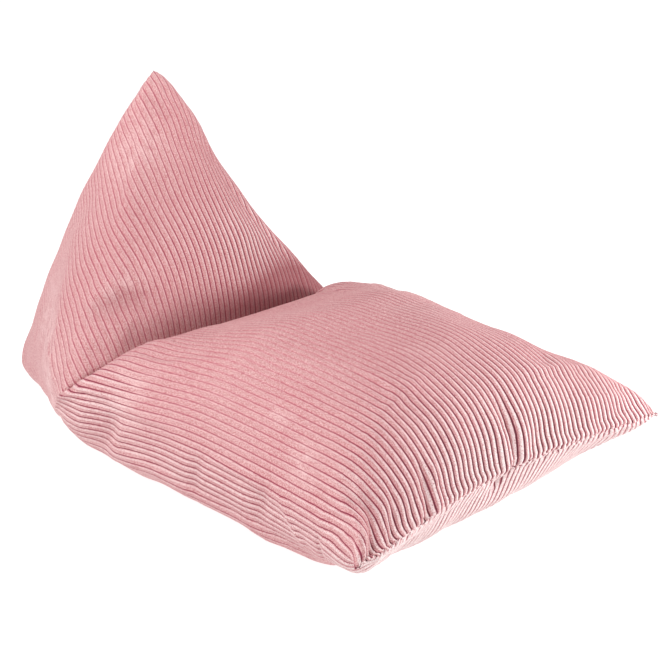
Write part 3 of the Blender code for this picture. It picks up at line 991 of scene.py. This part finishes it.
# %% Colour the painted flank highlights, the grooves and the painted shade
# A shut wale shows the SHUT share of its painted flank highlight and of its ground with
# its painted shade, and the SPREAD is added in full where a wale is fully open.
PALE_SHUT = 0.12
PALE_SPREAD = 0.80
BARE_SHUT = 0.15
BARE_SPREAD = 2.2
PALE_SPECKS = (0.54, 0.64)
DEEP_SPECKS = (0.46, 0.36)
SPECK_SHARE = 0.75
PAINTED_SHADE_SHARE = 0.75


def highlights_specks_and_shade(tree, colour, pile, wale, wale_open_and_lit, painted_shade_map):
    """The tufts' colour with painted flank highlights, speckle, shaded ground and painted shade.
    """
    # The painted highlight on the flanks.
    paled = maths(tree, "MULTIPLY_ADD", wale_open_and_lit, PALE_SPREAD, PALE_SHUT)
    colour = mix(tree, maths(tree, "MULTIPLY", wale.outputs["Flank"], paled), colour, FLANK_HIGHLIGHT)
    tufts = pile.outputs["Tufts"]
    colour = mix(tree, mapped(tree, tufts, *PALE_SPECKS, 0.0, SPECK_SHARE), colour, PALE_TUFTS)
    colour = mix(tree, mapped(tree, tufts, *DEEP_SPECKS, 0.0, SPECK_SHARE), colour, DEEP_TUFTS)
    # The ground in the grooves, with painted shade in it, wider and darker where the wales are
    # open.
    bare = maths(tree, "MULTIPLY_ADD", wale_open_and_lit, BARE_SPREAD, BARE_SHUT, clamp=True)
    ground_and_shade = mix(tree, wale_open_and_lit, SHUT_GROUND_AND_SHADE, GROUND_AND_SHADE)
    colour = mix(tree, maths(tree, "MULTIPLY", wale.outputs["Groove"], bare), colour, ground_and_shade)
    # Painted shade of the crease, the folds and the back.
    return mix(tree, maths(tree, "MULTIPLY", painted_shade_map, PAINTED_SHADE_SHARE), colour, PAINTED_SHADE_COLOUR)


print("a shut wale shows", BARE_SHUT, "of its ground and", PALE_SHUT, "of its flank")


# %% Build the corduroy
TUFT_SCALE = 950.0
WAVER_SHARE = 0.05
TUFT_HEIGHT = 0.8
PILE_DEPTH = 0.0009


def from_mesh(tree, name):
    """One of the soft maps that are kept in the mesh."""
    return add_node(tree, "ShaderNodeAttribute", attribute_name=name).outputs["Fac"]


def corduroy():
    material = bpy.data.materials.new("corduroy")
    material.use_nodes = True
    tree = material.node_tree
    surface = tree.nodes["Principled BSDF"]
    cloth_map = add_node(tree, "ShaderNodeUVMap", uv_map="cloth").outputs["UV"]
    place = add_node(tree, "ShaderNodeTexCoord").outputs["Object"]
    wale_open_and_lit = from_mesh(tree, "open_and_lit")

    pile = add_node(tree, "ShaderNodeGroup", node_tree=pile_nodes)
    set_inputs(pile, {"Tuft Scale": TUFT_SCALE})
    tree.links.new(place, pile.inputs["Place"])
    tree.links.new(cloth_map, pile.inputs["Cloth"])
    wale = add_node(tree, "ShaderNodeGroup", node_tree=wale_nodes)
    set_inputs(wale, {"Wales": float(WALES)})
    tree.links.new(wale_open_and_lit, wale.inputs["Open_and_lit"])
    tree.links.new(cloth_map, wale.inputs["Cloth"])
    uneven_tufts = maths(tree, "SUBTRACT", pile.outputs["Tufts"], 0.5)
    waver = maths(tree, "MULTIPLY", uneven_tufts, WAVER_SHARE)
    tree.links.new(waver, wale.inputs["Waver"])

    colour = tuft_colour(tree, pile, wale, from_mesh(tree, "nap_and_sheen"))
    colour = highlights_specks_and_shade(tree, colour, pile, wale, wale_open_and_lit, from_mesh(tree, "painted_shade"))
    tree.links.new(colour, surface.inputs["Base Color"])

    tuft_height = maths(tree, "MULTIPLY", pile.outputs["Tufts"], TUFT_HEIGHT)
    height = maths(tree, "ADD", wale.outputs["Rib"], tuft_height)
    bump = add_node(tree, "ShaderNodeBump")
    set_inputs(bump, {"Strength": 0.5, "Distance": PILE_DEPTH})
    tree.links.new(height, bump.inputs["Height"])
    tree.links.new(bump.outputs["Normal"], surface.inputs["Normal"])

    set_inputs(surface, {
        "Roughness": 0.92,
        "Metallic": 0.0,
        "Specular IOR Level": 0.15,
        "Sheen Weight": 0.15,
        "Sheen Roughness": 0.35,
        "Sheen Tint": SHEEN_TINT,
    })
    return material


mesh.materials.append(corduroy())
print("material", mesh.materials[0].name)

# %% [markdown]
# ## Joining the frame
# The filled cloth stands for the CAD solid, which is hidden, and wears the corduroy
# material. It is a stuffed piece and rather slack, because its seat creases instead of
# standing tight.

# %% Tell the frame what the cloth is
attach(cloth, "root")
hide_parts("lounger")
print("the cloth rides on root")

# %% [markdown]
# ## Floor and light
# The photograph was taken on a white sweep in very even light, so a glowing white
# floor and a white world do most of it. A big lamp high on the left shapes the seat
# and leaves the back a little darker. A small one, low and in front on the right,
# catches the right flank of each wale on the front.
# The wales' flanks on the front also carry a painted highlight, and the back a little painted
# shade.

# %% Lay the floor
FLOOR_HALF = 12.0
FLOOR_COLOUR = (0.30, 0.30, 0.30, 1.0)
FLOOR_LIGHT = (1.0, 1.0, 1.0, 1.0)
FLOOR_GLOW = 0.90


def white_floor():
    material = bpy.data.materials.new("floor")
    material.use_nodes = True
    surface = material.node_tree.nodes["Principled BSDF"]
    set_inputs(surface, {
        "Base Color": FLOOR_COLOUR,
        "Roughness": 0.85,
        "Specular IOR Level": 0.1,
        "Emission Color": FLOOR_LIGHT,
        "Emission Strength": FLOOR_GLOW,
    })
    sheet = bmesh.new()
    bmesh.ops.create_grid(sheet, x_segments=1, y_segments=1, size=FLOOR_HALF)
    floor_mesh = bpy.data.meshes.new("floor")
    sheet.to_mesh(floor_mesh)
    sheet.free()
    floor_mesh.materials.append(material)
    return link(bpy.data.objects.new("floor", floor_mesh))


floor = white_floor()
print("floor", 2.0 * FLOOR_HALF, "m wide")

# %% Light it
WORLD_COLOUR = (1.0, 1.0, 1.0, 1.0)
WORLD_STRENGTH = 0.58
Lamp = namedtuple("Lamp", "name place target size power")
LAMPS = [
    Lamp("high", (-1.4, 0.05, 2.1), (0.0, 0.0, 0.15), 0.9, 37.0),
    Lamp("right", (1.1, -1.1, 0.35), (0.0, -0.42, 0.12), 0.35, 16.0),
]

world = bpy.data.worlds.new("studio")
world.use_nodes = True
backdrop = world.node_tree.nodes["Background"]
set_inputs(backdrop, {"Color": WORLD_COLOUR, "Strength": WORLD_STRENGTH})
bpy.context.scene.world = world
for lamp in LAMPS:
    light = bpy.data.lights.new(lamp.name, "AREA")
    light.shape = "DISK"
    light.size = lamp.size
    light.energy = lamp.power
    thing = link(bpy.data.objects.new(lamp.name, light))
    aim(thing, Vector(lamp.place), Vector(lamp.target))
bpy.context.scene.view_settings.view_transform = "Standard"
print(len(LAMPS), "lamps")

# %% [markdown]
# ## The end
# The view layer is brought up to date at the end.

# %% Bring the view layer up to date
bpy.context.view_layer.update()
